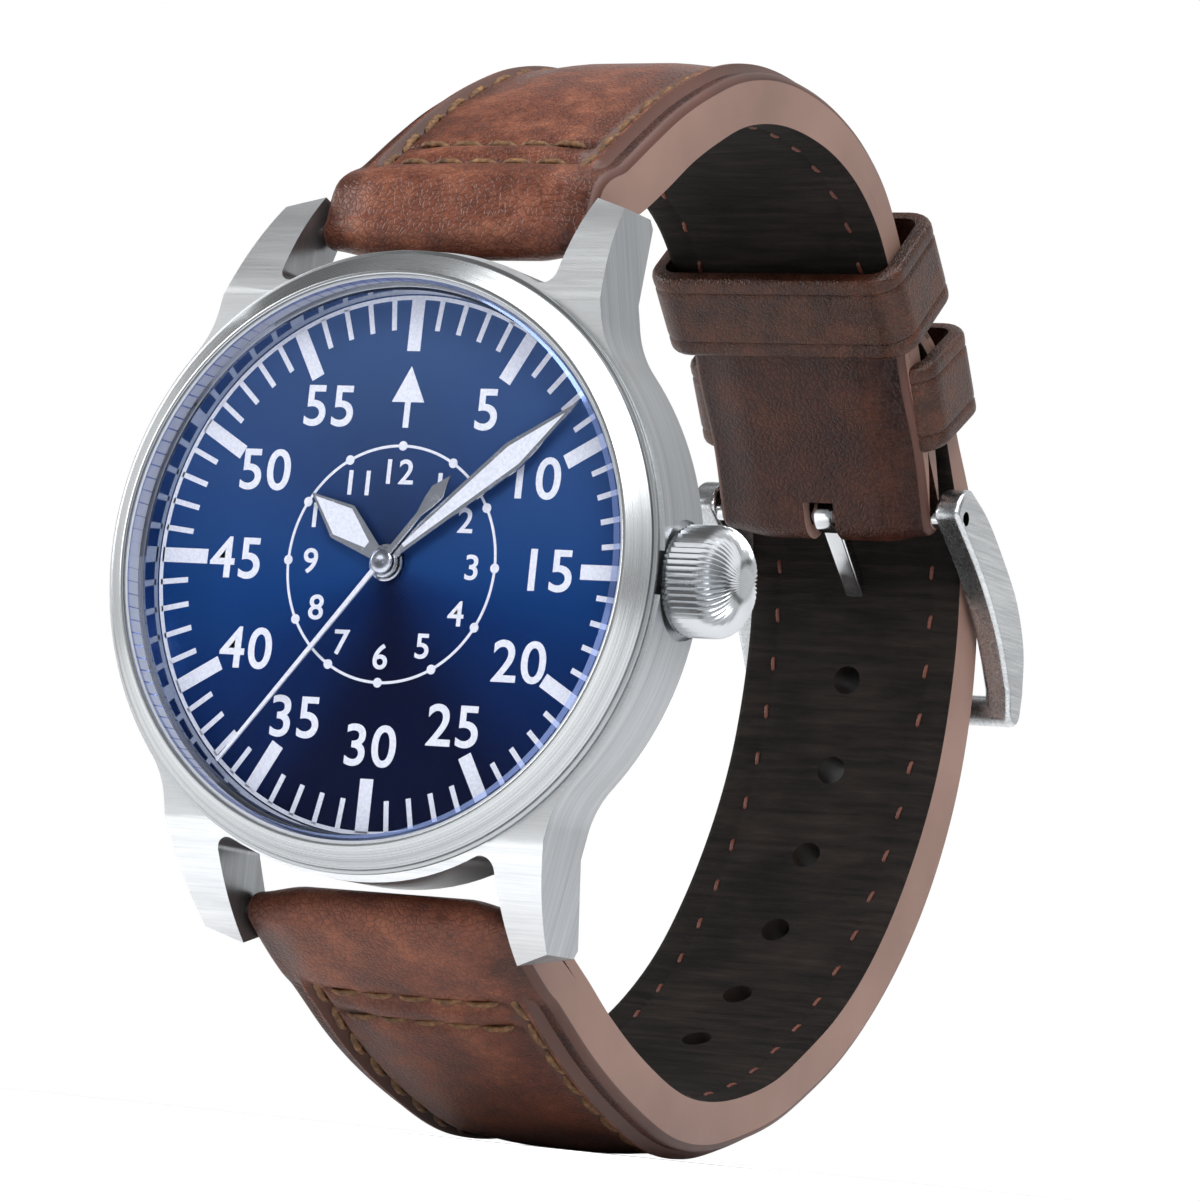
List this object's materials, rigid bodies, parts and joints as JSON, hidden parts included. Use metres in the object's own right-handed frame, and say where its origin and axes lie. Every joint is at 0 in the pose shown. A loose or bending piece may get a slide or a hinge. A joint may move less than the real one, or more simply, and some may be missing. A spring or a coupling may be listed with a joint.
{
  "type": "pilot wristwatch",
  "caption": "Round steel pilot wristwatch with a blue dial, three hands, a fluted crown and a padded leather strap closed by a pin buckle; geared movement inside.",
  "frame": {"origin": "centre of the case back's flat outer face", "axes": "+Y out of the case back towards the wrist, so the dial faces -Y; +Z towards 12 o'clock; +X towards the crown"},
  "size_m": [0.0431, 0.0778, 0.0728],
  "materials": {
    "case_steel": "brushed",
    "polished_steel": "polished",
    "sapphire": "clear, polished",
    "gasket_rubber": "matt",
    "dial_blue": "sunburst brushed under clear lacquer",
    "lume": "matt",
    "needle_white": "satin",
    "leather_brown": "fine grain, satin",
    "leather_lining": "matt",
    "leather_loop": "fine grain, satin",
    "brass_wheels": "satin",
    "rhodium_plates": "plated, grained",
    "ruby": "polished",
    "hardened_steel": "polished",
    "ring_plastic": "satin"
  },
  "bodies": {
    "case": {"case_middle": "case_steel", "bezel": "case_steel", "crystal": "sapphire", "crystal_gasket": "gasket_rubber", "dial_ring": "polished_steel", "dial": "dial_blue", "case_back": "case_steel", "case_back_gasket": "gasket_rubber", "movement_ring": "ring_plastic", "crown_tube": "polished_steel", "spring_bars": "polished_steel", "strap_short_outer": "leather_brown", "strap_short_lining": "leather_lining", "strap_long_outer": "leather_brown", "strap_long_lining": "leather_lining", "fixed_keeper": "leather_loop", "main_plate": "rhodium_plates", "barrel_bridge": "rhodium_plates", "train_bridge": "rhodium_plates", "balance_cock": "rhodium_plates", "jewel_bearings": "ruby", "barrel_arbor": "hardened_steel", "minute_wheel_post": "hardened_steel", "rotor_bearing": "hardened_steel", "bridge_screws": "hardened_steel"},
    "minute_group": {"minute_hand": "polished_steel", "minute_lume": "lume", "cannon_pinion": "hardened_steel"},
    "hour_group": {"hour_hand": "polished_steel", "hour_lume": "lume", "hour_wheel": "brass_wheels"},
    "minute_wheel": {"minute_wheel": "brass_wheels"},
    "seconds_group": {"second_hand": "needle_white", "fourth_wheel": "brass_wheels"},
    "third_wheel": {"third_wheel": "brass_wheels"},
    "centre_wheel": {"centre_wheel": "brass_wheels"},
    "escape_wheel": {"escape_wheel": "hardened_steel"},
    "barrel": {"barrel": "brass_wheels", "mainspring": "hardened_steel"},
    "pallet_fork": {"pallet_fork": "hardened_steel"},
    "balance": {"balance_wheel": "brass_wheels", "hairspring": "hardened_steel"},
    "rotor": {"winding_rotor": "rhodium_plates"},
    "keyless": {"sliding_clutch": "hardened_steel", "winding_pinion": "hardened_steel"},
    "crown_group": {"crown": "polished_steel", "winding_stem": "hardened_steel", "crown_gasket": "gasket_rubber"},
    "buckle": {"buckle_frame": "polished_steel", "buckle_bar": "polished_steel"},
    "tongue": {"buckle_tongue": "polished_steel"},
    "free_keeper": {"free_keeper": "leather_loop"}
  },
  "joints": [
    {"name": "second_hand_turn", "type": "hinge", "parent": "case", "child": "seconds_group", "pos_m": [0, -0.006, 0], "axis": [0, 1, 0], "continuous": true},
    {"name": "minute_hand_turn", "type": "hinge", "parent": "case", "child": "minute_group", "pos_m": [0, -0.006, 0], "axis": [0, 1, 0], "continuous": true},
    {"name": "hour_hand_turn", "type": "hinge", "parent": "case", "child": "hour_group", "pos_m": [0, -0.006, 0], "axis": [0, 1, 0], "continuous": true},
    {"name": "minute_wheel_turn", "type": "hinge", "parent": "case", "child": "minute_wheel", "pos_m": [-0.00218, -0.006, -0.00261], "axis": [0, 1, 0], "continuous": true},
    {"name": "third_wheel_turn", "type": "hinge", "parent": "case", "child": "third_wheel", "pos_m": [-0.00532, -0.0035, -0.00094], "axis": [0, 1, 0], "continuous": true},
    {"name": "centre_wheel_turn", "type": "hinge", "parent": "case", "child": "centre_wheel", "pos_m": [0, -0.0035, 0], "axis": [0, 1, 0], "continuous": true},
    {"name": "escape_wheel_turn", "type": "hinge", "parent": "case", "child": "escape_wheel", "pos_m": [0.00181, -0.0035, -0.00496], "axis": [0, 1, 0], "continuous": true},
    {"name": "barrel_turn", "type": "hinge", "parent": "case", "child": "barrel", "pos_m": [0.00141, -0.0045, 0.00527], "axis": [0, 1, 0], "continuous": true},
    {"name": "pallet_rock", "type": "hinge", "parent": "case", "child": "pallet_fork", "pos_m": [0.00013, -0.0035, -0.00686], "axis": [0, 1, 0], "range_deg": [-6, 6]},
    {"name": "balance_swing", "type": "hinge", "parent": "case", "child": "balance", "pos_m": [-0.00154, -0.0035, -0.00877], "axis": [0, 1, 0], "range_deg": [-270, 270], "stiffness_Nm_per_rad": 0.00000025},
    {"name": "rotor_turn", "type": "hinge", "parent": "case", "child": "rotor", "pos_m": [0, -0.002, 0], "axis": [0, 1, 0], "continuous": true},
    {"name": "crown_turn", "type": "hinge", "parent": "case", "child": "keyless", "pos_m": [0.02, -0.0048, 0], "axis": [1, 0, 0], "continuous": true},
    {"name": "crown_pull", "type": "slide", "parent": "keyless", "child": "crown_group", "axis": [1, 0, 0], "range_m": [0, 0.0012]},
    {"name": "buckle_swing", "type": "hinge", "parent": "case", "child": "buckle", "pos_m": [0, 0.054, 0.0129], "axis": [1, 0, 0], "range_deg": [0, 2.5]},
    {"name": "tongue_swing", "type": "hinge", "parent": "buckle", "child": "tongue", "pos_m": [0, 0.054, 0.0129], "axis": [1, 0, 0], "range_deg": [0, 4]},
    {"name": "keeper_slide", "type": "slide", "parent": "case", "child": "free_keeper", "axis": [0, -0.6947, 0.7193], "range_m": [0, 0.002]}
  ],
  "couplings": [
    {"joint": "minute_hand_turn", "follows": "second_hand_turn", "ratio": 0.016667},
    {"joint": "hour_hand_turn", "follows": "second_hand_turn", "ratio": 0.0013889},
    {"joint": "minute_wheel_turn", "follows": "second_hand_turn", "ratio": -0.0055556},
    {"joint": "third_wheel_turn", "follows": "second_hand_turn", "ratio": -0.125},
    {"joint": "centre_wheel_turn", "follows": "second_hand_turn", "ratio": 0.016667},
    {"joint": "escape_wheel_turn", "follows": "second_hand_turn", "ratio": -10},
    {"joint": "barrel_turn", "follows": "second_hand_turn", "ratio": -0.0027778}
  ]
}
